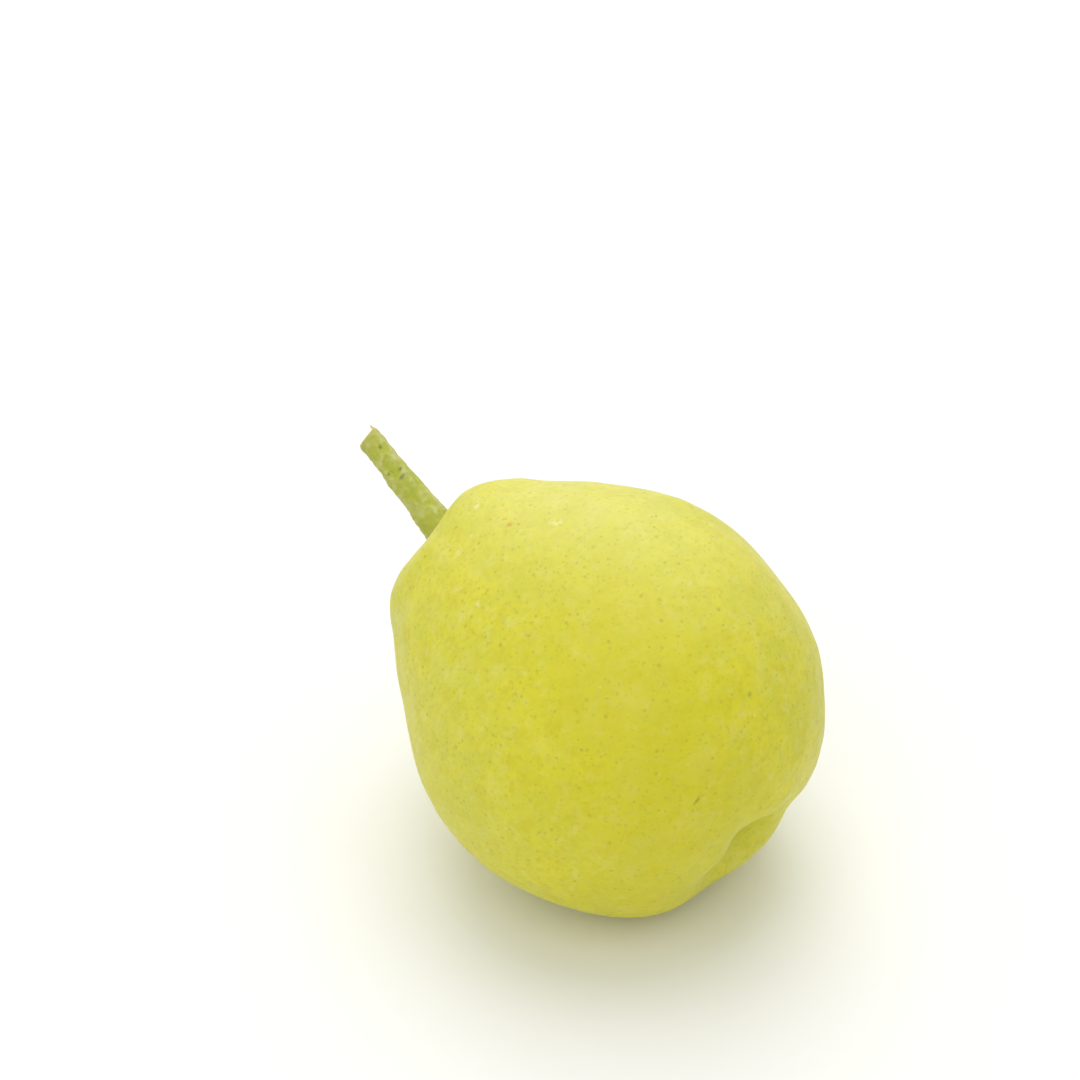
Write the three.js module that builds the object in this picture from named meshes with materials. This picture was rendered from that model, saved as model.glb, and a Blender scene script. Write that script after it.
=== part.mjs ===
// A fresh pear lying on its side: the fruit, its cut stem and the dried calyx in its blossom basin.
// Millimetres, +Z up. The blossom end points towards +X and the stem rises towards -X.
// Angles are in degrees. A polar angle runs from 0 at the blossom pole to 180 at the stem pole,
// and a bearing turns about the long axis, from 0 on the upper side towards +Y.
import * as THREE from 'three';

// The fruit, before its ends are hollowed.
const halfLength = 36;
const radius = 31;
const taper = 0.135; // slimmer at the stem end, fuller at the blossom end
const shoulder = { swell: 0.088, at: 150, spread: 7.3 }; // the square ring round the stem end
const sideLobes = [
  { count: 2, size: 0.023, at: 32 },
  { count: 3, size: 0.05, at: 19 },
];
const stemEnd = {
  outward: 1,
  hollow: [{ depth: 5.8, width: 6.8, steepness: 1 }],
  rimRadius: 10.5,
  rimWaves: [
    { count: 1, size: 3, at: -46 },
    { count: 3, size: 1.3, at: 5 },
  ],
};
const blossomEnd = {
  outward: -1,
  hollow: [
    { depth: 5.8, width: 8.5, steepness: 0.85 },
    { depth: 3.2, width: 4, steepness: 1 },
  ],
  rimRadius: 7.5,
  rimWaves: [
    { count: 1, size: 1.1, at: 3 },
    { count: 2, size: 0.34, at: -51 },
    { count: 3, size: 0.65, at: 141 },
    { count: 5, size: 0.3, at: -1 },
  ],
};
// Gentle swells and flats that a fruit grows with.
const swells = [
  { polar: 34, bearing: 219, height: 0.55, reach: 10 },
  { polar: 62, bearing: 235, height: -0.5, reach: 9 },
  { polar: 93, bearing: 243, height: 0.3, reach: 10 },
  { polar: 122, bearing: 249, height: -0.4, reach: 9 },
  { polar: 101, bearing: 35, height: 0.35, reach: 9 },
  { polar: 78, bearing: 41, height: -0.4, reach: 9 },
  { polar: 44, bearing: 47, height: -0.3, reach: 9 },
  { polar: 16, bearing: 124, height: 0.2, reach: 4 },
  { polar: 28, bearing: 106, height: -0.7, reach: 4.5 },
  { polar: 23, bearing: 163, height: 0.45, reach: 3 },
];

// How it lies: the long axis lifts at the stem end, and the underside is pressed flat at Z = 0.
const lift = 21.5;
const centreHeight = 30.9;
const restEdge = 0.3; // soft edge of the flat spot

const stem = {
  length: 28.3,
  lean: { angle: 5.4, bearing: 50, start: -1 }, // the base stands a little off the axis
  cutRadius: 2,
  baseFlare: 1.5,
  knots: [
    { at: 0.66, size: 0.25, spread: 0.07, bearing: 230 },
    { at: 0.36, size: 0.2, spread: 0.06, bearing: 250 },
    { at: 0.9, size: 0.15, spread: 0.05, bearing: 40 },
  ],
  cut: { slope: 0.4, bearing: 123 }, // the high side of the slanted cut
};

const calyx = { sepals: 5, reach: 3.3, height: 2.1, notch: 0.3 };

const gap = 0.3; // clearance where the stem and the calyx meet the fruit
const degree = Math.PI / 180;
const { sin, cos, exp, hypot, atan2, asin, acos, abs } = Math;

const bell = (distance, spread, steepness = 1) => exp(-(abs(distance / spread) ** (2 * steepness)));

function waves(bearing, list) {
  return list.reduce((sum, wave) => sum + wave.size * cos(wave.count * (bearing - wave.at * degree)), 0);
}

// A point of the skin in the fruit's own axes: x and y across the long axis, z along it to the stem.
function skinPoint(polar, bearing) {
  const along = -cos(polar);
  const fullness = 1 - taper * along + shoulder.swell * bell(polar / degree - shoulder.at, shoulder.spread);
  const lobing = 1 + sin(polar) ** 2 * waves(bearing, sideLobes);
  const across = radius * sin(polar) * fullness * lobing;
  const end = along > 0 ? stemEnd : blossomEnd;
  const rim = (across / end.rimRadius) ** 2;
  const rise = waves(bearing, end.rimWaves) * rim * exp(1 - rim);
  const sink = end.hollow.reduce((sum, dent) => sum + dent.depth * bell(across, dent.width, dent.steepness), 0);
  const z = halfLength * along + end.outward * (rise - sink);
  return withSwells(new THREE.Vector3(across * cos(bearing), across * sin(bearing), z));
}

// Each swell moves the skin along the normal of the plain ellipsoid, in a soft round patch.
function withSwells(point) {
  const normal = new THREE.Vector3(point.x / radius ** 2, point.y / radius ** 2, point.z / halfLength ** 2);
  normal.normalize();
  const centre = new THREE.Vector3();
  const moved = point.clone();
  for (const { polar, bearing, height, reach } of swells) {
    const ring = radius * sin(polar * degree);
    centre.set(ring * cos(bearing * degree), ring * sin(bearing * degree), -halfLength * cos(polar * degree));
    moved.addScaledVector(normal, height * bell(point.distanceTo(centre), reach));
  }
  return moved;
}

// The skin's place along the long axis, near either pole, at a distance across it.
function skinLevel(end, across, bearing) {
  const ring = radius * (1 - taper * end.outward);
  const fromPole = asin(across / ring);
  return skinPoint(end.outward > 0 ? Math.PI - fromPole : fromPole, bearing).z;
}

// From the fruit's own axes to the lying pear, with the surface it rests on at Z = 0.
const axisUp = new THREE.Vector3(sin(lift * degree), 0, cos(lift * degree));
const axisSide = new THREE.Vector3(0, 1, 0);
const axisStem = new THREE.Vector3(-cos(lift * degree), 0, sin(lift * degree));

function layDown(point) {
  const laid = new THREE.Vector3(0, 0, centreHeight);
  laid.addScaledVector(axisUp, point.x);
  laid.addScaledVector(axisSide, point.y);
  laid.addScaledVector(axisStem, point.z);
  return laid;
}

// What would sink below the surface is pressed flat, and the edge of the flat spot is rounded.
function pressFlat(point) {
  if (point.z <= -restEdge) {
    point.z = 0;
  } else if (point.z < restEdge) {
    point.z = (point.z + restEdge) ** 2 / (4 * restEdge);
  }
  return point;
}

// Moves every vertex of a standard geometry to where the given function puts it.
function reshape(geometry, place) {
  const position = geometry.getAttribute('position');
  const vertex = new THREE.Vector3();
  for (let i = 0; i < position.count; i += 1) {
    vertex.fromBufferAttribute(position, i);
    const placed = place(vertex);
    position.setXYZ(i, placed.x, placed.y, placed.z);
  }
  geometry.computeVertexNormals();
  return geometry;
}

function makeFruit() {
  return reshape(new THREE.SphereGeometry(1, 72, 48), ({ x, y, z }) => {
    const polar = acos(Math.min(1, Math.max(-1, -y)));
    return pressFlat(layDown(skinPoint(polar, atan2(-z, x))));
  });
}

// The stem swells towards its base, follows the floor of the hollow there and is cut off at a slant.
function makeStem() {
  const { length, lean, cut } = stem;
  const floor = skinLevel(stemEnd, 0, 0);
  const leanTo = new THREE.Vector3(cos(lean.bearing * degree), sin(lean.bearing * degree), 0);
  return reshape(new THREE.CylinderGeometry(1, 1, 1, 24, 26), ({ x, y, z }) => {
    const share = y + 0.5;
    const bearing = atan2(-z, x);
    const across = hypot(x, z) * stemRadius(share, bearing);
    const point = new THREE.Vector3(across * cos(bearing), across * sin(bearing), 0);
    const foot = point.clone().addScaledVector(leanTo, lean.start);
    const base = skinLevel(stemEnd, hypot(foot.x, foot.y), atan2(foot.y, foot.x)) + gap;
    const top = floor + length + cut.slope * across * cos(bearing - cut.bearing * degree);
    point.addScaledVector(leanTo, lean.start + Math.tan(lean.angle * degree) * length * share);
    point.z = base + (top - base) * share;
    return layDown(point);
  });
}

function stemRadius(share, bearing) {
  let size = stem.cutRadius + stem.baseFlare * (1 - share) ** 2.2;
  for (const knot of stem.knots) {
    const facing = 0.5 + 0.5 * cos(bearing - knot.bearing * degree);
    size += knot.size * bell(share - knot.at, knot.spread) * facing;
  }
  return size;
}

// A small dry star: a shallow cup turned about the axis, notched between its sepals.
function makeCalyx() {
  const { reach, height } = calyx;
  const section = [
    [0, 0],
    [0.55 * reach, 0],
    [0.8 * reach, 0.3 * height],
    [reach, 0.9 * height],
    [0.94 * reach, height],
    [0.62 * reach, 0.55 * height],
    [0.35 * reach, 0.4 * height],
    [0, 0.36 * height],
  ].map(([across, up]) => new THREE.Vector2(across, up));
  return reshape(new THREE.LatheGeometry(section, 60), ({ x, y, z }) => {
    const bearing = atan2(z, x);
    const outerShare = (hypot(x, z) / reach) ** 2;
    const star = 1 - calyx.notch * outerShare * (0.5 - 0.5 * cos(calyx.sepals * bearing));
    const across = hypot(x, z) * star;
    const level = skinLevel(blossomEnd, across, bearing) - gap - y * star;
    return layDown(new THREE.Vector3(across * cos(bearing), across * sin(bearing), level));
  });
}

function makeMesh(name, geometry, color, roughness) {
  const material = new THREE.MeshStandardMaterial({ color, roughness, metalness: 0 });
  const mesh = new THREE.Mesh(geometry, material);
  mesh.name = name;
  return mesh;
}

const pear = new THREE.Group();
pear.add(
  makeMesh('fruit', makeFruit(), '#d6d152', 0.5),
  makeMesh('stem', makeStem(), '#b2b65c', 0.7),
  makeMesh('calyx', makeCalyx(), '#6d5836', 0.9),
);

// The origin is under the middle of the whole pear, on the surface it rests on.
const middle = new THREE.Box3().setFromObject(pear).getCenter(new THREE.Vector3());
pear.position.set(-middle.x, -middle.y, 0);

export default pear;
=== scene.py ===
import bpy
import numpy as np
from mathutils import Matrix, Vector


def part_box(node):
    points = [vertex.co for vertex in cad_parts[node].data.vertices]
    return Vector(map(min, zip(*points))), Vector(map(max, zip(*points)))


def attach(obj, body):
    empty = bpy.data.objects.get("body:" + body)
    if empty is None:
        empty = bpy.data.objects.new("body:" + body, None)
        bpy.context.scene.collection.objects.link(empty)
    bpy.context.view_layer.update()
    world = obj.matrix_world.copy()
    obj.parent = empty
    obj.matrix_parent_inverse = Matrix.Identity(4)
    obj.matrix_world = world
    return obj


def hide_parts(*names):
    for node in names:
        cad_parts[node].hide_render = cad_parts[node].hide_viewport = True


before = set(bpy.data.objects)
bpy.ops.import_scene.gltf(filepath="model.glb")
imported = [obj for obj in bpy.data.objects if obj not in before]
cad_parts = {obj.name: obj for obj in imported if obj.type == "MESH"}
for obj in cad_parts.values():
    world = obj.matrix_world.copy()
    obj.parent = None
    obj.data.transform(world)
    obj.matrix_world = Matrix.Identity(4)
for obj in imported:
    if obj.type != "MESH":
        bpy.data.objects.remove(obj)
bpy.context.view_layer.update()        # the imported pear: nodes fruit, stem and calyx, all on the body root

print("frame loaded:", sorted(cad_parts))

# Shapes are worked out in millimetres in the fruit's own axes: x and y across, z along it to the stem.
# polar is 0 at the blossom pole and 180 at the stem pole, bearing turns about the long axis.
# The object's frame is in metres, so layDown and metre turn and scale them at the end.
metre = 0.001
fullTurn = 2 * np.pi


def bell(distance, spread, steepness=1.0):
    # 1 in the middle, falling to 0 on both sides: exp(-(d / spread)^(2 * steepness))
    return np.exp(-np.abs(distance / spread) ** (2 * steepness))


def waves(bearing, lobes):
    # sum of size * cos(count * (bearing - at)), each lobe given as (count, size, at in degrees)
    return sum(size * np.cos(count * (bearing - np.radians(at))) for count, size, at in lobes)


def smoothStep(low, high, value):
    # 0 below low, 1 above high, with an easy curve between them
    share = np.clip((value - low) / (high - low), 0, 1)
    return share * share * (3 - 2 * share)


def turnFrom(bearing, at):
    # bearing minus at in degrees, wrapped to the half turn on each side
    return np.mod(bearing - np.radians(at) + np.pi, fullTurn) - np.pi


def ripples(points, seed, count, shortest, longest, size):
    # sum of cosines along random directions, lengths from shortest to longest, size is the rms height
    rng = np.random.default_rng(seed)
    directions = rng.normal(size=(count, 3))
    directions /= np.linalg.norm(directions, axis=1, keepdims=True)
    steps = fullTurn / rng.uniform(shortest, longest, count)
    phases = rng.uniform(0, fullTurn, count)
    total = sum(np.cos(points @ d * k + p) for d, k, p in zip(directions, steps, phases))
    return size * total / np.sqrt(count / 2)


def hexToLinear(code):
    # sRGB hex to the linear colour that shaders use
    srgb = np.array([int(code[i:i + 2], 16) for i in (1, 3, 5)]) / 255
    linear = np.where(srgb <= 0.04045, srgb / 12.92, ((srgb + 0.055) / 1.055) ** 2.4)
    return (*linear, 1.0)


def shellMesh(name, shells):
    # each shell is (rings, firstTip, lastTip): rings is rows x columns x 3, closed round its columns,
    # a fan of triangles closes each end, and faces turn outwards by the sign of the enclosed volume
    vertices, quads, fans, start = [], [], [], 0
    for rings, firstTip, lastTip in shells:
        rows, columns = rings.shape[:2]
        points = np.vstack([rings.reshape(-1, 3), firstTip, lastTip])
        index = np.arange(rows * columns).reshape(rows, columns)
        turned = np.roll(index, -1, axis=1)
        sides = np.stack([index[:-1], turned[:-1], turned[1:], index[1:]], axis=-1).reshape(-1, 4)
        tip = np.full(columns, rows * columns)
        caps = np.vstack([np.stack([turned[0], index[0], tip], axis=-1),
                          np.stack([index[-1], turned[-1], tip + 1], axis=-1)])
        corners = (points - points.mean(axis=0))[np.vstack([sides[:, :3], sides[:, [0, 2, 3]], caps])]
        if np.einsum("ij,ij->", corners[:, 0], np.cross(corners[:, 1], corners[:, 2])) < 0:
            sides, caps = sides[:, ::-1], caps[:, ::-1]
        vertices.append(points)
        quads.append(sides + start)
        fans.append(caps + start)
        start += len(points)
    mesh = bpy.data.meshes.new(name)
    faces = np.vstack(quads).tolist() + np.vstack(fans).tolist()
    mesh.from_pydata(np.vstack(vertices).tolist(), [], faces)
    mesh.shade_smooth()
    return mesh


def addLayer(mesh, name, values):
    # one number for each vertex, which a material reads by name
    mesh.attributes.new(name, "FLOAT", "POINT").data.foreach_set("value", values.astype(np.float32))


def addPiece(name, mesh, node, material):
    piece = bpy.data.objects.new(name, mesh)
    bpy.context.scene.collection.objects.link(piece)
    mesh.materials.append(material)
    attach(piece, "root")
    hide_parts(node)
    print("made", name, "with", len(mesh.vertices), "vertices")


def addNode(tree, kind, settings=None, **inputs):
    # one node, its settings, and its inputs by socket name or as _number: a value, an output to link,
    # or a node, which stands for its first output in use
    node = tree.nodes.new(kind)
    for key, value in (settings or {}).items():
        setattr(node, key, value)
    for key, value in inputs.items():
        socket = node.inputs[int(key[1:])] if key[0] == "_" else node.inputs[key.replace("_", " ")]
        if isinstance(value, bpy.types.Node):
            value = next(output for output in value.outputs if output.enabled)
        if isinstance(value, bpy.types.NodeSocket):
            tree.links.new(value, socket)
        else:
            socket.default_value = value
    return node


def newMaterial(name, **values):
    # an empty Principled material with its constant values set on the shader itself
    material = bpy.data.materials.new(name)
    material.use_nodes = True
    shader = material.node_tree.nodes["Principled BSDF"]
    for key, value in values.items():
        shader.inputs[key.replace("_", " ")].default_value = value
    return material, material.node_tree, shader


fruitForm = {
    "halfLength": 36, "radius": 31,
    "taper": 0.135,                       # slimmer at the stem end
    "shoulder": (0.088, 150, 7.3),        # square ring round the stem end: swell, polar, spread
    "sideLobes": [(2, 0.023, 32), (3, 0.05, 19)],
    "stemHollow": [(5.8, 6.8, 1.0)],      # dents, each with its depth, width and steepness
    "stemRim": (10.5, [(1, 3.0, -46), (3, 1.3, 5)]),
    "blossomHollow": [(5.8, 8.5, 0.85), (3.2, 4.0, 1.0)],
    "blossomRim": (7.5, [(1, 1.1, 3), (2, 0.34, -51), (3, 0.65, 141), (5, 0.3, -1)]),
    "swells": [                           # polar, bearing, height, reach
        (34, 219, 0.55, 10), (62, 235, -0.5, 9), (93, 243, 0.3, 10),
        (122, 249, -0.4, 9), (101, 35, 0.35, 9), (78, 41, -0.4, 9), (44, 47, -0.3, 9),
        (16, 124, 0.2, 4), (28, 106, -0.7, 4.5), (23, 163, 0.45, 3),
    ],
    "lift": 21.5, "centreHeight": 30.9, "restEdge": 0.3,
    "rows": 300, "columns": 320,
}
spans = np.array([fruitForm["radius"], fruitForm["radius"], fruitForm["halfLength"]])


def skinPoints(polar, bearing):
    # an ellipsoid of revolution, tapered, with a shoulder ring, lobed sides, a hollow at each pole
    # with a waved rim round it, and soft round swells along the normal
    form = fruitForm
    along = -np.cos(polar)
    swell, ringAt, ringSpread = form["shoulder"]
    fullness = 1 - form["taper"] * along + swell * bell(np.degrees(polar) - ringAt, ringSpread)
    lobing = 1 + np.sin(polar) ** 2 * waves(bearing, form["sideLobes"])
    across = form["radius"] * np.sin(polar) * fullness * lobing
    level = form["halfLength"] * along
    for side, hollow, rim in ((1, "stemHollow", "stemRim"), (-1, "blossomHollow", "blossomRim")):
        rimRadius, rimWaves = form[rim]
        near = (across / rimRadius) ** 2
        dents = sum(depth * bell(across, width, steepness) for depth, width, steepness in form[hollow])
        change = waves(bearing, rimWaves) * near * np.exp(1 - near) - dents
        level = level + side * np.where(along * side > 0, change, 0)
    points = np.stack([across * np.cos(bearing), across * np.sin(bearing), level], axis=-1)
    normal = plainNormal(points)
    moved = points.copy()
    for atPolar, atBearing, height, reach in form["swells"]:
        far = np.linalg.norm(points - spans * unitVector(atPolar, atBearing), axis=-1)
        moved += normal * (height * bell(far, reach))[..., None]
    return moved


def plainNormal(points):
    # the normal of the plain ellipsoid through a point, near enough to the skin's own
    normal = points / spans ** 2
    return normal / (np.linalg.norm(normal, axis=-1, keepdims=True) + 1e-12)


def unitVector(polar, bearing):
    # direction of a polar angle and a bearing, both in degrees
    p, b = np.radians(polar), np.radians(bearing)
    return np.array([np.sin(p) * np.cos(b), np.sin(p) * np.sin(b), -np.cos(p)])


def skinLevel(side, across, bearing):
    # height of the skin along the axis near a pole, side is 1 at the stem and -1 at the blossom
    ring = fruitForm["radius"] * (1 - fruitForm["taper"] * side)
    fromPole = np.arcsin(np.clip(across / ring, 0, 1))
    return skinPoints(np.pi - fromPole if side > 0 else fromPole, bearing)[..., 2]


lift = np.radians(fruitForm["lift"])
ownAxes = np.array([[np.sin(lift), 0, np.cos(lift)], [0, 1, 0], [-np.cos(lift), 0, np.sin(lift)]])


def layDown(points):
    # turn into the lying pose and raise by the height of the fruit's centre
    return points @ ownAxes + np.array([0, 0, fruitForm["centreHeight"]])


def pressFlat(points):
    # what would sink below the surface goes to height 0, with a soft edge round the flat spot
    edge = fruitForm["restEdge"]
    height = points[..., 2]
    soft = np.where(height < -edge, 0, (height + edge) ** 2 / (4 * edge))
    points[..., 2] = np.where(height < edge, soft, height)
    return points


skinRelief = {
    "swells": (11, 26, 11.0, 24.0, 0.10),     # seed, count, shortest, longest, rms height in mm
    "dimples": (12, 40, 3.5, 7.5, 0.022),
    # ribs round a hollow: height in mm, where they are highest and how far they spread, and their lobes
    "stemFolds": (0.34, 5.2, 2.6, [(5, 1.0, 20), (3, 0.7, 75), (8, 0.5, 0)]),
    "basinRibs": (0.28, 6.2, 2.4, [(5, 0.8, 38), (10, 0.3, 4), (3, 0.4, 330)]),
    "basinWrinkles": (0.07, 4.6, 1.5, [(17, 1.0, 0), (23, 0.7, 8)]),
}


def reliefHeight(bearing, own):
    # soft random swells and small dimples all over, and ribs that run out of each hollow
    across = np.hypot(own[..., 0], own[..., 1])
    height = ripples(own, *skinRelief["swells"]) + ripples(own, *skinRelief["dimples"])
    height *= smoothStep(2, 9, across)
    for name, side in (("stemFolds", 1), ("basinRibs", -1), ("basinWrinkles", -1)):
        size, at, spread, lobes = skinRelief[name]
        height += size * bell(across - at, spread) * waves(bearing, lobes) * (own[..., 2] * side > 0)
    return height


skin = {
    # the pale tone is the skin's pale bloom, and is also used as painted sheen on the top of the fruit
    "yellow": "#dcd529", "green": "#cccb34", "deepGreen": "#a6b338", "paleAndHighlight": "#e0dc86",
    "ripe": "#d0c612", "russet": "#c99a2c", "dryWax": "#efecb4", "scratch": "#98991e",
    "roughness": 0.47,
    "noises": {"grain": 0.7, "wax": 4, "torn": 0.8, "bend": 0.9},     # sizes in mm
    # blotches of one tone on the ground colour: size in mm, noise from and to, greatest share
    "blotches": [
        (30, 0.40, 0.62, 0.45, "green"), (9, 0.44, 0.66, 0.52, "green"),
        (4.0, 0.44, 0.66, 0.55, "green"), (2.4, 0.46, 0.68, 0.70, "ripe"),
        (1.5, 0.50, 0.72, 0.30, "paleAndHighlight"), (0.8, 0.44, 0.72, 0.24, "deepGreen"),
        (5.5, 0.50, 0.72, 0.22, "paleAndHighlight"),
    ],
    # pores cut through the skin at random depths, so they stand about twice as far apart as spacing
    "pores": [
        {"spacing": 0.9, "radius": 0.36, "share": 0.31, "colour": "#a39d1c"},      # fine lenticels
        {"spacing": 1.5, "radius": 0.46, "share": 0.38, "colour": "#99941e"},      # ordinary ones
        {"spacing": 4.2, "radius": 0.55, "share": 0.42, "colour": "#8a8426"},       # a few large ones
        {"spacing": 4.0, "radius": 0.42, "share": 0.26, "colour": "#f2efb8"},      # dry pale specks
    ],
    "wobble": 0.3,                        # how far noise bends the pores' outlines, in mm
    # pale patches: partly the pale waxy bloom of the skin, partly painted sheen where the overhead light
    # falls on the top of the fruit
    "paleAndHighlightPatches": [      # polar, bearing, reach in mm, amount
        (136, 355, 17, 0.35), (106, 5, 14, 0.2), (78, 16, 12, 0.26), (104, 280, 14, 0.12),
        (84, 265, 12, 0.05), (60, 150, 18, 0.2), (105, 200, 16, 0.2),
    ],
    "ripePatches": [
        (66, 322, 15, 0.45), (34, 296, 15, 0.36), (45, 250, 12, 0.25), (88, 335, 13, 0.22),
        (90, 110, 17, 0.3),
    ],
    "greenPatches": [
        (44, 289, 4, 0.12), (12, 140, 8, 0.1), (125, 170, 15, 0.25), (28, 262, 11, 0.1),
        (34, 335, 8, 0.06), (5, 160, 4, 0.25),
    ],
    "scuffs": [           # polar, bearing, length, width, turn in degrees
        (144, 344, 1.9, 0.7, 30), (118, 352, 1.3, 0.9, 0), (134, 319, 1.5, 0.6, 60),
        (116, 312, 0.8, 0.4, 20), (82, 0, 0.7, 0.4, 0), (60, 120, 1.8, 0.7, 70),
        (100, 160, 1.2, 0.8, 15),
    ],
    "russets": [          # reddish old lenticels: polar, bearing, length, width, turn in degrees
        (128, 342, 0.6, 0.5, 0), (75, 80, 0.6, 0.5, 0), (98, 185, 0.7, 0.5, 0), (140, 230, 0.6, 0.6, 0),
    ],
    "scratches": [        # polar, bearing, length, width, turn in degrees
        (39, 318, 0.9, 0.22, 76), (52, 100, 1.4, 0.2, 20), (88, 200, 1.8, 0.2, 110),
    ],
}


def markShare(polar, bearing, across, marks):
    # 1 inside each ellipse of the list, fading over its edge, on the unrolled skin
    share = np.zeros(polar.shape)
    for atPolar, atBearing, length, width, turn in marks:
        alongArc = (polar - np.radians(atPolar)) * fruitForm["halfLength"]
        roundArc = turnFrom(bearing, atBearing) * across
        c, s = np.cos(np.radians(turn)), np.sin(np.radians(turn))
        far = np.hypot((alongArc * c + roundArc * s) / length, (roundArc * c - alongArc * s) / width)
        share = np.maximum(share, 1 - smoothStep(0.4, 1.3, far))
    return share


def skinLayers(polar, bearing, own):
    # pale, ripe and green follow their patches, the pale ones partly painted sheen on the lit top, green
    # deepens in both hollows, the rest are marks
    across = np.hypot(own[..., 0], own[..., 1])
    inStemHollow = (1 - smoothStep(3, 11, across)) * (own[..., 2] > 0)
    inBasin = (1 - smoothStep(5, 12, across)) * (own[..., 2] < 0)
    layers = {}
    for name in ("paleAndHighlight", "ripe", "green"):
        layers[name] = np.zeros(polar.shape)
        for atPolar, atBearing, reach, amount in skin[name + "Patches"]:
            far = np.linalg.norm(own - spans * unitVector(atPolar, atBearing), axis=-1)
            layers[name] += amount * bell(far, reach)
    layers["green"] = np.clip(layers["green"] + 0.7 * inStemHollow + 0.1 * inBasin, 0, 1)
    layers["scuff"] = markShare(polar, bearing, across, skin["scuffs"])
    layers["scratch"] = markShare(polar, bearing, across, skin["scratches"])
    layers["russet"] = 0.8 * markShare(polar, bearing, across, skin["russets"])
    return layers


def pearSkin():
    # Fresh pear skin: a living cuticle under a thin natural wax, so it is satin with a soft gleam.
    # Its lenticels are darker olive pores, and the finest are drawn about 0.3 mm wide so that they show.
    material, tree, shader = newMaterial(
        "PearSkin", IOR=1.45, Specular_IOR_Level=0.4, Coat_Weight=0.06, Coat_Roughness=0.4,
        Subsurface_Weight=0.15, Subsurface_Radius=(1.0, 0.8, 0.2), Subsurface_Scale=0.002)
    place = addNode(tree, "ShaderNodeTexCoord").outputs["Object"]
    layer = {name: addNode(tree, "ShaderNodeAttribute", {"attribute_name": name}).outputs["Fac"]
             for name in ("paleAndHighlight", "ripe", "green", "scuff", "scratch", "russet")}
    noise = {name: addNode(tree, "ShaderNodeTexNoise", Vector=place, Scale=1 / (size * metre), Detail=3)
             for name, size in skin["noises"].items()}

    # blotches of several sizes on the yellow ground, then the patches and marks laid on this fruit, the pale
    # patches partly pale bloom and partly painted sheen on the lit top
    colour = hexToLinear(skin["yellow"])
    for index, (size, low, high, most, tone) in enumerate(skin["blotches"]):
        blotch = addNode(tree, "ShaderNodeTexNoise", {"noise_dimensions": "4D"}, Vector=place, W=index,
                         Scale=1 / (size * metre), Detail=3)
        share = addNode(tree, "ShaderNodeMapRange", {"interpolation_type": "SMOOTHSTEP"}, Value=blotch,
                        From_Min=low, From_Max=high, To_Min=0.0, To_Max=most)
        colour = addNode(tree, "ShaderNodeMix", {"data_type": "RGBA"}, _0=share, _6=colour,
                         _7=hexToLinear(skin[tone]))
    for share, tone in ((layer["green"], "deepGreen"), (layer["ripe"], "ripe"), (layer["paleAndHighlight"], "paleAndHighlight"),
                        (layer["scratch"], "scratch"), (layer["russet"], "russet")):
        colour = addNode(tree, "ShaderNodeMix", {"data_type": "RGBA"}, _0=share, _6=colour,
                         _7=hexToLinear(skin[tone]))

    # pores: each kind is a cell pattern, a random number sets how wide and how strong each pore is
    height = addNode(tree, "ShaderNodeMath", {"operation": "MULTIPLY"}, _0=noise["grain"], _1=0.5)
    reach = [skin["wobble"] * metre] * 3
    bent = addNode(tree, "ShaderNodeVectorMath", {"operation": "MULTIPLY_ADD"},
                   _0=noise["bend"].outputs["Color"], _1=reach, _2=place)
    for pore in skin["pores"]:
        cells = addNode(tree, "ShaderNodeTexVoronoi", Vector=bent, Scale=1 / (pore["spacing"] * metre))
        chance = addNode(tree, "ShaderNodeSeparateColor", Color=cells.outputs["Color"])
        edge = pore["radius"] / pore["spacing"]
        width = addNode(tree, "ShaderNodeMapRange", Value=chance, To_Min=0.5 * edge, To_Max=edge)
        inside = addNode(tree, "ShaderNodeMath", {"operation": "DIVIDE"}, _0=cells, _1=width)
        soft = addNode(tree, "ShaderNodeMapRange", {"interpolation_type": "SMOOTHSTEP"}, Value=inside,
                       From_Min=0.3, From_Max=1.0, To_Min=1.0, To_Max=0.0)
        strength = addNode(tree, "ShaderNodeMapRange", Value=chance.outputs["Green"],
                           To_Min=0.35 * pore["share"], To_Max=pore["share"])
        share = addNode(tree, "ShaderNodeMath", {"operation": "MULTIPLY"}, _0=soft, _1=strength)
        colour = addNode(tree, "ShaderNodeMix", {"data_type": "RGBA"}, _0=share, _6=colour,
                         _7=hexToLinear(pore["colour"]))
        height = addNode(tree, "ShaderNodeMath", {"operation": "SUBTRACT"}, _0=height, _1=share)

    # scuffs break up into torn flecks of dry wax
    torn = addNode(tree, "ShaderNodeMapRange", Value=noise["torn"], From_Min=0.42, From_Max=0.6,
                   To_Min=0.0, To_Max=0.55)
    scuffShare = addNode(tree, "ShaderNodeMath", {"operation": "MULTIPLY"}, _0=layer["scuff"], _1=torn)
    colour = addNode(tree, "ShaderNodeMix", {"data_type": "RGBA"}, _0=scuffShare, _6=colour,
                     _7=hexToLinear(skin["dryWax"]))
    satin = addNode(tree, "ShaderNodeMapRange", Value=noise["wax"], From_Min=0.3, From_Max=0.7,
                    To_Min=skin["roughness"] - 0.05, To_Max=skin["roughness"] + 0.07)
    bump = addNode(tree, "ShaderNodeBump", Strength=0.4, Distance=0.1 * metre, Height=height)
    tree.links.new(colour.outputs[2], shader.inputs["Base Color"])
    tree.links.new(satin.outputs[0], shader.inputs["Roughness"])
    tree.links.new(bump.outputs[0], shader.inputs["Normal"])
    return material


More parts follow.
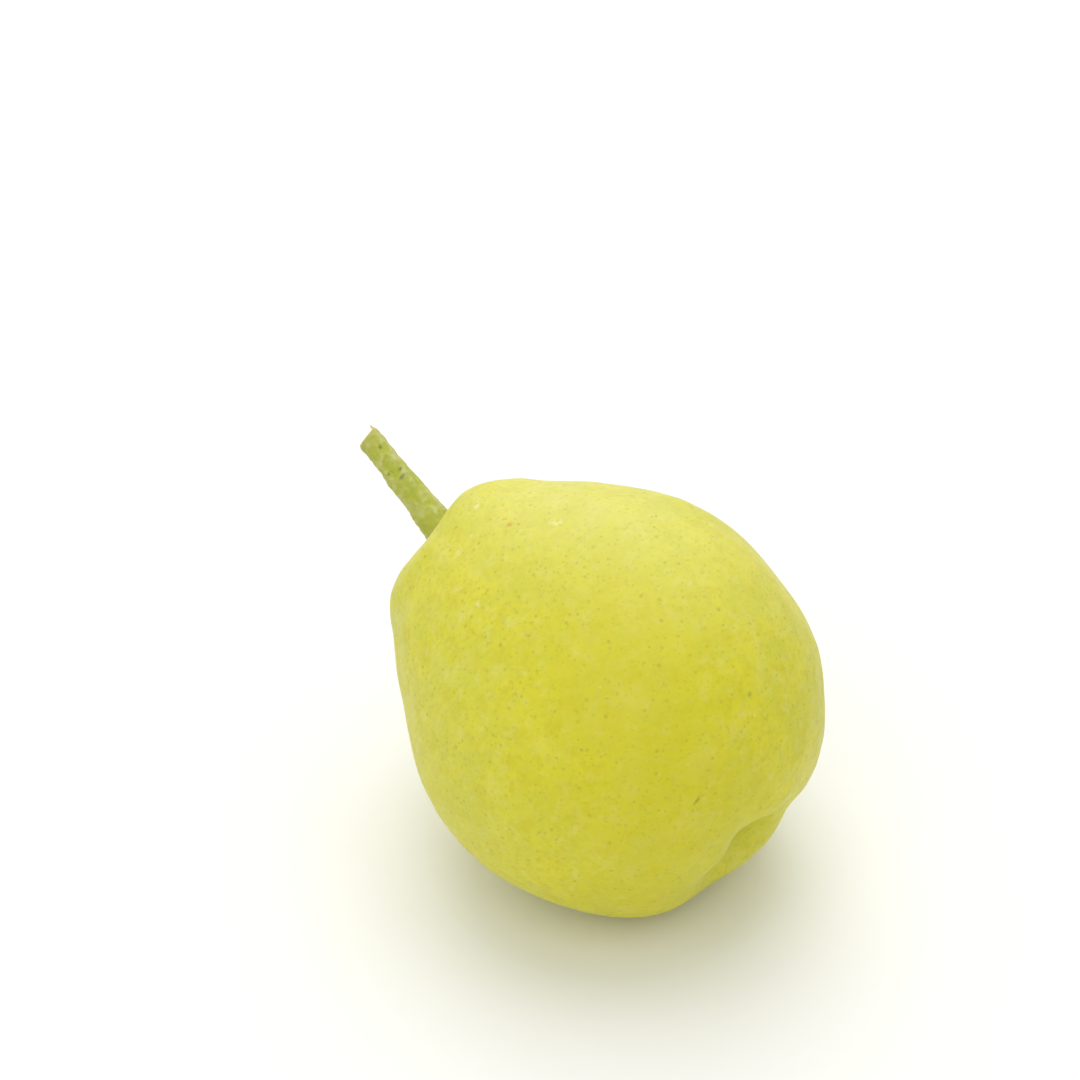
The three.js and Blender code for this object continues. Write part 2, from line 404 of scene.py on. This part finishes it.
def makeFruit():
    # the skin on an even grid of polar and bearing, raised by its relief along the normal
    rows, columns = fruitForm["rows"], fruitForm["columns"]
    polar = (np.arange(1, rows + 1) / (rows + 1) * np.pi)[:, None] + np.zeros((1, columns))
    bearing = (np.arange(columns) / columns * fullTurn)[None, :] + np.zeros((rows, 1))
    own = skinPoints(polar, bearing)
    tips = skinPoints(np.array([0.0, np.pi]), np.zeros(2))
    plain = pressFlat(layDown(own)).reshape(-1, 3)
    low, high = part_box("fruit")
    cadMiddle = (np.array(low) + np.array(high)) / 2 / metre
    shift = (cadMiddle - (plain.min(axis=0) + plain.max(axis=0)) / 2) * [1, 1, 0]
    raised = own + plainNormal(own) * reliefHeight(bearing, own)[..., None]
    rings = (pressFlat(layDown(raised)) + shift) * metre
    firstTip, lastTip = (layDown(tips) + shift) * metre
    mesh = shellMesh("pear_fruit", [(rings, firstTip, lastTip)])
    for name, values in skinLayers(polar, bearing, own).items():
        addLayer(mesh, name, np.append(values.ravel(), values[[0, -1], 0]))
    addPiece("pear_fruit", mesh, "fruit", pearSkin())
    return shift


shift = makeFruit()
print("fruit done")

stemForm = {
    "length": 28.3, "lean": 5.4, "leanTo": 50, "start": -1.0,
    "cutRadius": 2.0, "flare": 1.5, "sunk": 0.6,
    "cutSlope": 0.4, "cutHighSide": 123,
    "knots": [(0.66, 0.25, 0.07, 230), (0.36, 0.2, 0.06, 250), (0.9, 0.15, 0.05, 40)],
    "ridges": [(5, 0.05, 30), (8, 0.03, 10), (13, 0.018, 0)],           # count, height, at
    "ridgeTwist": 50,                     # degrees from base to cut
    "ribs": [(22, 0.16, 9), (250, 0.1, 10), (150, 0.12, 9)],            # bearing, height, half width
    "baseFolds": (0.3, 0.16, [(5, 1.0, 0), (3, 0.6, 40)]),
    # scars and spots: share of the length, bearing, half length and half width in mm
    "scars": [(0.745, 322, 3.0, 1.45), (0.44, 110, 2.4, 1.4), (0.27, 20, 1.5, 1.1)],
    "greenSpots": [(0.57, 335, 2.3, 1.3), (0.74, 325, 2.4, 1.2), (0.25, 350, 2.0, 1.2),
                   (0.5, 160, 3.5, 1.5)],
    "darkSpots": [(0.89, 338, 0.5, 0.35), (0.70, 348, 0.35, 0.55), (0.655, 330, 0.4, 0.8),
                  (0.73, 290, 0.3, 0.3), (0.60, 175, 0.5, 0.4), (0.36, 200, 0.4, 0.5)],
    "corky": (21, 60, 0.9, 2.4, 0.04),    # seed, count, shortest, longest, rms height
    "pimples": (22, 60, 0.45, 0.9, 0.014),
    "splinter": (1.1, 82, 11),            # height, bearing, half width in degrees
    "rows": 200, "columns": 112, "cutRows": 22,
}

stemFinish = {
    "green": "#b0b442", "fresh": "#9eae2c", "paleAndHighlight": "#c9c886", "bark": "#b2aa60", "speck": "#6c763e",
    "cut": "#e6d08c", "roughness": 0.6,
    "fibre": 0.5, "blotch": 2.4, "fine": 0.35,        # sizes in mm
    "stretch": 5,                         # how many times longer than wide a fibre is
}


def stemSpots(share, bearing, radius, spots):
    # distance from the nearest oval's middle, counted in its own half length and half width
    far = np.full(share.shape, 9.0)
    for at, atBearing, length, width in spots:
        alongStem, roundStem = (share - at) * stemForm["length"], turnFrom(bearing, atBearing) * radius
        far = np.minimum(far, np.hypot(alongStem / length, roundStem / width))
    return far


def makeStem():
    # a tube about a leaning line: cut radius, flare to the base, knots, twisting ridges, straight ribs,
    # leaf scars and corky bumps, then rings inwards over the slanted cut with a hollow pith
    form = stemForm
    outerRows, cutRows, columns = form["rows"], form["cutRows"], form["columns"]
    grid = np.zeros((outerRows + cutRows, columns))
    inward = np.concatenate([np.zeros(outerRows), np.linspace(0.03, 0.97, cutRows)])[:, None]
    share = np.concatenate([np.linspace(0, 1, outerRows), np.ones(cutRows)])[:, None] + grid
    bearing = (np.arange(columns) / columns * fullTurn)[None, :] + grid
    plain = form["cutRadius"] + form["flare"] * (1 - share) ** 2.2
    bark = np.stack([plain * np.cos(bearing), plain * np.sin(bearing), share * form["length"]], axis=-1)
    corky = ripples(bark, *form["corky"])
    pimples = ripples(bark, *form["pimples"])
    ridges = waves(bearing - np.radians(form["ridgeTwist"]) * share, form["ridges"])
    ribs = sum(height * bell(np.degrees(turnFrom(bearing, at)), halfWidth)
               for at, height, halfWidth in form["ribs"])
    ribs = ribs * smoothStep(0.1, 0.3, share) * (1 + 6 * corky)
    foldHeight, foldReach, folds = form["baseFolds"]
    radius = plain + corky + pimples + ridges + ribs
    radius = radius + foldHeight * bell(share, foldReach) * waves(bearing, folds)
    for at, size, spread, facing in form["knots"]:
        towardKnot = 0.5 + 0.5 * np.cos(bearing - np.radians(facing))
        radius = radius + size * bell(share - at, spread) * towardKnot
    fromScar = stemSpots(share, bearing, plain, form["scars"]) + 1.6 * corky
    lip = bell(fromScar - 1, 0.14)
    radius = radius + 0.1 * lip - 0.08 * (1 - smoothStep(0.6, 1.0, fromScar))
    fromDark = stemSpots(share, bearing, plain, form["darkSpots"]) + 3 * pimples
    darkSpot = 1 - smoothStep(0.1, 1.4, fromDark)
    cutEdge = smoothStep(0.985, 1.0, share)           # rounds the edge of the cut
    radius = radius - 0.06 * darkSpot - 0.14 * cutEdge
    across = radius * (1 - inward)

    leanTo, highSide = np.radians(form["leanTo"]), np.radians(form["cutHighSide"])
    toward = np.array([np.cos(leanTo), np.sin(leanTo)])
    flat = np.stack([across * np.cos(bearing), across * np.sin(bearing)], axis=-1)
    foot = flat + form["start"] * toward
    footAcross = np.hypot(foot[..., 0], foot[..., 1])
    footBearing = np.arctan2(foot[..., 1], foot[..., 0])
    base = skinLevel(1, footAcross, footBearing) - form["sunk"]
    slant = form["cutSlope"] * across * np.cos(bearing - highSide)
    top = skinLevel(1, 0.0, 0.0) + form["length"] + slant
    pith = 0.14 * bell(inward - 0.14, 0.1) - 0.45 * smoothStep(0.45, 0.95, inward)
    grain = 0.05 * np.cos(23 * bearing) * bell(inward - 0.45, 0.3) * (inward > 0)
    height, splinterAt, halfWidth = form["splinter"]
    splinter = height * bell(np.degrees(turnFrom(bearing, splinterAt)), halfWidth) * bell(inward, 0.09)
    splinter = splinter * smoothStep(0.95, 1.0, share)
    level = base + (top - base) * share + np.where(inward > 0, pith + grain, 0) + splinter

    drift = form["start"] + np.tan(np.radians(form["lean"])) * form["length"] * share
    own = np.concatenate([flat + drift[..., None] * toward, level[..., None]], axis=-1)
    firstTip, lastTip = own[0].mean(axis=0), own[-1].mean(axis=0)
    place = [(layDown(points) + shift) * metre for points in (own, firstTip, lastTip)]
    mesh = shellMesh("pear_stem", [place])
    fromGreen = stemSpots(share, bearing, plain, form["greenSpots"]) + 3 * corky
    layers = {
        # raised parts are painted pale: partly paler cork, partly a painted highlight along the ridges and
        # ribs, such as the rib at bearing 22
        "raised": smoothStep(0.02, 0.16, corky + ridges + ribs + 0.1 * lip),
        "fresh": 1 - smoothStep(0.3, 1.1, fromGreen),
        "dark": darkSpot, "tip": smoothStep(0.9, 1.0, share),
        "cut": smoothStep(0.0, 0.08, inward + grid),
    }
    for name, values in layers.items():
        addLayer(mesh, name, np.append(values.ravel(), [values[0].mean(), values[-1].mean()]))
    addPiece("pear_stem", mesh, "stem", greenStem())


def greenStem():
    # Green wood of a fruit stalk: thin fibrous bark with corky ridges and leaf scars, dull and dry; the
    # ridges are painted pale, partly as paler cork and partly as a painted highlight along them.
    # Its fibres run along it, about 0.5 mm apart, and the fresh cut is pale wood round a soft pith.
    material, tree, shader = newMaterial("GreenStem", IOR=1.45, Specular_IOR_Level=0.35,
                                         Subsurface_Weight=0.1, Subsurface_Radius=(1.0, 0.9, 0.3),
                                         Subsurface_Scale=0.001)
    place = addNode(tree, "ShaderNodeTexCoord").outputs["Object"]
    layer = {name: addNode(tree, "ShaderNodeAttribute", {"attribute_name": name}).outputs["Fac"]
             for name in ("raised", "fresh", "dark", "tip", "cut")}
    # turned so that its third axis runs along the stem, and stretched along it
    along = Vector(ownAxes[2]).to_track_quat("Z", "Y").to_euler()
    fibreSpace = addNode(tree, "ShaderNodeMapping", {"vector_type": "TEXTURE"}, Vector=place,
                         Rotation=along, Scale=(1, 1, stemFinish["stretch"]))
    noise = {name: addNode(tree, "ShaderNodeTexNoise", Vector=space, Detail=3,
                           Scale=1 / (stemFinish[name] * metre))
             for name, space in (("fibre", fibreSpace), ("blotch", place), ("fine", place))}
    shares = {}
    for name, value, low, high, most in (
            ("blotch", noise["blotch"], 0.45, 0.65, 0.45), ("fibre", noise["fibre"], 0.5, 0.72, 0.4),
            ("raised", layer["raised"], 0.0, 1.0, 0.6), ("fresh", layer["fresh"], 0.0, 1.0, 0.7),
            ("dark", layer["dark"], 0.0, 1.0, 0.75), ("tip", layer["tip"], 0.0, 1.0, 0.4),
            ("fine", noise["fine"], 0.5, 0.8, 0.5)):
        shares[name] = addNode(tree, "ShaderNodeMapRange", Value=value, From_Min=low, From_Max=high,
                               To_Min=0.0, To_Max=most)
    colour = addNode(tree, "ShaderNodeMix", {"data_type": "RGBA"}, _0=shares["blotch"],
                     _6=hexToLinear(stemFinish["green"]), _7=hexToLinear(stemFinish["paleAndHighlight"]))
    # the pale on raised parts is partly a painted highlight along the ridges
    for share, tone in ((shares["fresh"], "fresh"), (shares["fibre"], "bark"),
                        (shares["raised"], "paleAndHighlight"), (shares["fine"], "fresh"), (shares["tip"], "bark"),
                        (shares["dark"], "speck"), (layer["cut"], "cut")):
        colour = addNode(tree, "ShaderNodeMix", {"data_type": "RGBA"}, _0=share, _6=colour,
                         _7=hexToLinear(stemFinish[tone]))
    rough = addNode(tree, "ShaderNodeMath", {"operation": "ADD"}, _0=noise["fibre"], _1=noise["fine"])
    bump = addNode(tree, "ShaderNodeBump", Strength=0.5, Distance=0.12 * metre, Height=rough)
    dull = addNode(tree, "ShaderNodeMapRange", Value=noise["fine"], From_Min=0.3, From_Max=0.7,
                   To_Min=stemFinish["roughness"] - 0.08, To_Max=stemFinish["roughness"] + 0.12)
    tree.links.new(colour.outputs[2], shader.inputs["Base Color"])
    tree.links.new(dull.outputs[0], shader.inputs["Roughness"])
    tree.links.new(bump.outputs[0], shader.inputs["Normal"])
    return material


makeStem()
print("stem done")

calyxForm = {
    "seed": 5,
    "sepals": 5, "sepalLength": 3.5, "sepalWidth": 1.0, "sepalThickness": 0.13,
    "rise": (80, 92),                     # steepness at the foot in degrees
    "curl": (0.5, 1.2),                   # how far they bend back, in radians
    "ring": 1.35,                         # radius of the ring that the sepals grow from
    "stamens": 16, "stamenRing": 0.8, "stamenLength": 1.6, "stamenRadius": 0.1, "stamenKnob": 0.12,
    "styles": 5, "styleRing": 0.3, "styleLength": 1.6, "styleRadius": 0.13, "styleKnob": 0.05,
    "cupRadius": 1.7, "cupHeight": 0.9,
    "sunk": 0.3,                          # how far their feet start inside the cup
    "standsOut": 0.35,                    # how far the whole calyx stands out of the basin's floor
}


def sweep(path, side, halfWidth, halfThickness, columns):
    # a flat oval carried along a path: centre + side * width * cos + over * thickness * sin,
    # where over is the cross product of the path's direction and side
    ahead = np.gradient(path, axis=0)
    ahead /= np.linalg.norm(ahead, axis=1, keepdims=True)
    over = np.cross(ahead, side)
    over /= np.linalg.norm(over, axis=1, keepdims=True)
    flat = np.cross(over, ahead)
    angle = (np.arange(columns) / columns * fullTurn)[None, :, None]
    rings = (path[:, None] + flat[:, None] * halfWidth[:, None, None] * np.cos(angle)
             + over[:, None] * halfThickness[:, None, None] * np.sin(angle))
    return rings, path[0], path[-1]


def sepalShell(rng, bearing):
    # a dry pointed leaf that stands up from the ring and curls back, with a crinkled edge
    rows, columns = 40, 28
    share = np.linspace(0, 1, rows)
    length = calyxForm["sepalLength"] * rng.uniform(0.8, 1.15)
    curl = rng.uniform(*calyxForm["curl"])
    rise = np.radians(rng.uniform(*calyxForm["rise"])) - curl * share ** 1.6
    step = length / (rows - 1)
    outward = calyxForm["ring"] + np.cumsum(np.cos(rise)) * step
    upward = np.cumsum(np.sin(rise)) * step - calyxForm["sunk"]
    turn = bearing + rng.uniform(-0.25, 0.25) * share ** 2
    turn = turn + 0.05 * np.sin(9 * share + rng.uniform(0, 6))
    path = np.stack([outward * np.cos(turn), outward * np.sin(turn), upward], axis=1)
    tip = np.clip(1 - share, 0, 1)
    ragged = 1 + 0.08 * np.sin(31 * share)
    halfWidth = np.maximum(calyxForm["sepalWidth"] * tip ** 0.6 * (0.75 + 0.5 * share) * ragged, 0.05)
    thickness = calyxForm["sepalThickness"] * (0.5 + 0.5 * tip)
    side = np.array([-np.sin(bearing), np.cos(bearing), 0])
    rings, first, last = sweep(path, side, halfWidth, thickness, columns)
    # a shallow trough along the middle and a crinkle along both edges
    edge = np.cos(np.arange(columns) / columns * fullTurn)[None, :, None]
    outAndUp = np.array([np.cos(bearing), np.sin(bearing), 0.8])
    crinkle = 0.1 * np.sin(17 * share + rng.uniform(0, 6))[:, None, None] * edge ** 2
    rings = rings - (0.34 * halfWidth[:, None, None] * edge ** 2 + crinkle) * outAndUp
    return rings, first, last


def threadShell(rng, bearing, ring, length, radius, lean, knob):
    # a thin thread that leans outwards and bends, with a swollen tip
    rows, columns = 16, 10
    share = np.linspace(0, 1, rows)
    outward = ring + length * share * np.sin(lean) + 0.35 * share ** 2 * rng.uniform(-1, 1)
    turn = bearing + 0.5 * share ** 2 * rng.uniform(-1, 1)
    upward = length * share * np.cos(lean) - calyxForm["sunk"]
    path = np.stack([outward * np.cos(turn), outward * np.sin(turn), upward], axis=1)
    width = radius * (1 - 0.35 * share) + knob * bell(share - 0.9, 0.07)
    width[-1] = 0.4 * radius
    return sweep(path, np.array([-np.sin(bearing), np.cos(bearing), 0]), width, width, columns)


def cupShell():
    # a low ring of dry tissue: a section in shares of its radius and height, turned about the axis
    radius, height = calyxForm["cupRadius"], calyxForm["cupHeight"]
    section = np.array([(0.02, -0.8), (0.9, -0.8), (1.05, -0.3), (1.0, 0.35), (0.9, 0.5), (0.78, 0.45),
                        (0.66, 0.2), (0.5, 0.02), (0.25, -0.04), (0.02, -0.02)])
    rows, columns = 46, 60
    fine = np.linspace(0, len(section) - 1, rows)
    across = np.interp(fine, np.arange(len(section)), section[:, 0]) * radius
    level = np.interp(fine, np.arange(len(section)), section[:, 1]) * height
    turn = np.arange(columns) / columns * fullTurn
    lumps = 1 + 0.05 * np.sin(10 * turn) + 0.03 * np.sin(17 * turn + 1)
    around = across[:, None] * lumps
    upward = level[:, None] + 0.05 * np.sin(13 * turn) * (across[:, None] > 0.5 * radius)
    rings = np.stack([around * np.cos(turn), around * np.sin(turn), upward], axis=-1)
    return rings, np.array([0, 0, level[0]]), np.array([0, 0, level[-1]])


def makeCalyx():
    # sepals, a ring of stamens, the styles and the cup they grow from, standing on the basin's floor
    form = calyxForm
    rng = np.random.default_rng(form["seed"])
    shells = [cupShell()]
    for i in range(form["sepals"]):
        shells.append(sepalShell(rng, (i + rng.uniform(-0.12, 0.12)) / form["sepals"] * fullTurn))
    for i in range(form["stamens"]):
        length, lean = form["stamenLength"] * rng.uniform(0.7, 1.1), rng.uniform(-0.2, 0.3)
        shells.append(threadShell(rng, i / form["stamens"] * fullTurn, form["stamenRing"], length,
                                  form["stamenRadius"], lean, form["stamenKnob"]))
    for i in range(form["styles"]):
        length, lean = form["styleLength"] * rng.uniform(0.8, 1.1), rng.uniform(0, 0.2)
        shells.append(threadShell(rng, i / form["styles"] * fullTurn + 0.3, form["styleRing"], length,
                                  form["styleRadius"], lean, form["styleKnob"]))
    floor = skinLevel(-1, 0.0, 0.0) - form["standsOut"]
    placed, heights = [], []
    for parts in shells:
        own = [points * [1, 1, -1] + [0, 0, floor] for points in parts]
        placed.append([(layDown(points) + shift) * metre for points in own])
        heights.append(np.append(parts[0][..., 2].ravel(), [parts[1][2], parts[2][2]]))
    mesh = shellMesh("pear_calyx", placed)
    addLayer(mesh, "tipShare", smoothStep(0.2, 2.4, np.concatenate(heights)))
    addPiece("pear_calyx", mesh, "calyx", driedCalyx())


calyxFinish = {
    "base": "#948a58", "dry": "#7a6038", "tip": "#57432a", "down": "#b4a67c", "roughness": 0.85,
    "blotchSize": 1.1, "downSize": 0.25,              # in mm
}


def driedCalyx():
    # The dried remains of the flower: papery brown sepals with fine grey down, dull all over.
    # The down is finer than a tenth of a millimetre, so its flecks are drawn 0.25 mm wide to show.
    material, tree, shader = newMaterial("DriedCalyx", IOR=1.4, Specular_IOR_Level=0.25,
                                         Sheen_Weight=0.25, Sheen_Roughness=0.5)
    place = addNode(tree, "ShaderNodeTexCoord").outputs["Object"]
    tip = addNode(tree, "ShaderNodeAttribute", {"attribute_name": "tipShare"})
    blotch = addNode(tree, "ShaderNodeTexNoise", Vector=place, Detail=4,
                     Scale=1 / (calyxFinish["blotchSize"] * metre))
    down = addNode(tree, "ShaderNodeTexNoise", Vector=place, Detail=2,
                   Scale=1 / (calyxFinish["downSize"] * metre))
    blotchShare = addNode(tree, "ShaderNodeMapRange", Value=blotch, From_Min=0.35, From_Max=0.65)
    tipShare = addNode(tree, "ShaderNodeMath", {"operation": "MULTIPLY"}, _0=tip.outputs["Fac"], _1=0.8)
    downShare = addNode(tree, "ShaderNodeMapRange", Value=down, From_Min=0.5, From_Max=0.75,
                        To_Min=0.0, To_Max=0.6)
    colour = addNode(tree, "ShaderNodeMix", {"data_type": "RGBA"}, _0=blotchShare,
                     _6=hexToLinear(calyxFinish["base"]), _7=hexToLinear(calyxFinish["dry"]))
    for share, tone in ((tipShare, "tip"), (downShare, "down")):
        colour = addNode(tree, "ShaderNodeMix", {"data_type": "RGBA"}, _0=share, _6=colour,
                         _7=hexToLinear(calyxFinish[tone]))
    crumple = addNode(tree, "ShaderNodeMath", {"operation": "ADD"}, _0=blotch, _1=down)
    bump = addNode(tree, "ShaderNodeBump", Strength=0.7, Distance=0.15 * metre, Height=crumple)
    dull = addNode(tree, "ShaderNodeMapRange", Value=down, From_Min=0.3, From_Max=0.7,
                   To_Min=calyxFinish["roughness"] - 0.08, To_Max=calyxFinish["roughness"] + 0.1)
    tree.links.new(colour.outputs[2], shader.inputs["Base Color"])
    tree.links.new(dull.outputs[0], shader.inputs["Roughness"])
    tree.links.new(bump.outputs[0], shader.inputs["Normal"])
    return material


makeCalyx()
print("calyx done")

camera = {
    "lens": 85,
    "bearing": 44, "height": 34,          # where it stands, in degrees
    "distance": 398.8,                    # from the fruit's centre, in mm
    "pearRight": 9.7, "pearBelow": 23.2,  # how far the fruit is off the middle, in mm
}


def makeCamera():
    # looks down on the pear's near side, with the pear a little right of and below the middle
    turn, tilt = np.radians(camera["bearing"]), np.radians(camera["height"])
    back = np.array([np.sin(turn) * np.cos(tilt), -np.cos(turn) * np.cos(tilt), np.sin(tilt)])
    right = np.array([np.cos(turn), np.sin(turn), 0])
    up = np.cross(back, right)
    centre = np.array([shift[0], shift[1], fruitForm["centreHeight"]])
    spot = centre + back * camera["distance"] - right * camera["pearRight"] + up * camera["pearBelow"]
    data = bpy.data.cameras.new("Camera")
    data.lens, data.sensor_width = camera["lens"], 36
    data.clip_start, data.clip_end = 0.01, 20
    holder = bpy.data.objects.new("Camera", data)
    matrix = np.eye(4)
    matrix[:3, 0], matrix[:3, 1], matrix[:3, 2], matrix[:3, 3] = right, up, back, spot * metre
    holder.matrix_world = matrix.T.tolist()
    bpy.context.scene.collection.objects.link(holder)
    bpy.context.scene.camera = holder


stage = {
    "floor": "#f7f7f5", "floorReach": 4.0, "daylight": 0.58,
    # turn from the camera's bearing and height in degrees, distance and size in metres, watts
    "lamps": [("Overhead", 180, 76, 1.0, 0.9, 4.1), ("Back", 180, 32, 1.0, 0.9, 1.9),
              ("Front", -18, 50, 1.0, 0.9, 2.3)],
}


def makeStage():
    reach = stage["floorReach"]
    floorMesh = bpy.data.meshes.new("floor")
    corners = [(-reach, -reach, 0), (reach, -reach, 0), (reach, reach, 0), (-reach, reach, 0)]
    floorMesh.from_pydata(corners, [], [(0, 1, 2, 3)])
    floor = bpy.data.objects.new("floor", floorMesh)
    bpy.context.scene.collection.objects.link(floor)
    paint, _, _ = newMaterial("PaleFloor", Base_Color=hexToLinear(stage["floor"]), Roughness=0.9,
                              Specular_IOR_Level=0.2)
    floorMesh.materials.append(paint)
    world = bpy.data.worlds.new("World")
    world.use_nodes = True
    world.node_tree.nodes["Background"].inputs["Color"].default_value = (1, 1, 1, 1)
    world.node_tree.nodes["Background"].inputs["Strength"].default_value = stage["daylight"]
    bpy.context.scene.world = world
    for name, turn, height, distance, size, power in stage["lamps"]:
        data = bpy.data.lights.new(name, "AREA")
        data.shape, data.size, data.energy = "DISK", size, power
        around, up = np.radians(camera["bearing"] + turn), np.radians(height)
        toLamp = Vector((np.sin(around) * np.cos(up), -np.cos(around) * np.cos(up), np.sin(up)))
        spot = toLamp * distance
        lamp = bpy.data.objects.new(name, data)
        lamp.location = spot
        lamp.rotation_euler = spot.to_track_quat("Z", "Y").to_euler()
        bpy.context.scene.collection.objects.link(lamp)
    bpy.context.scene.view_settings.view_transform = "Standard"


makeCamera()
makeStage()
print("stage done")
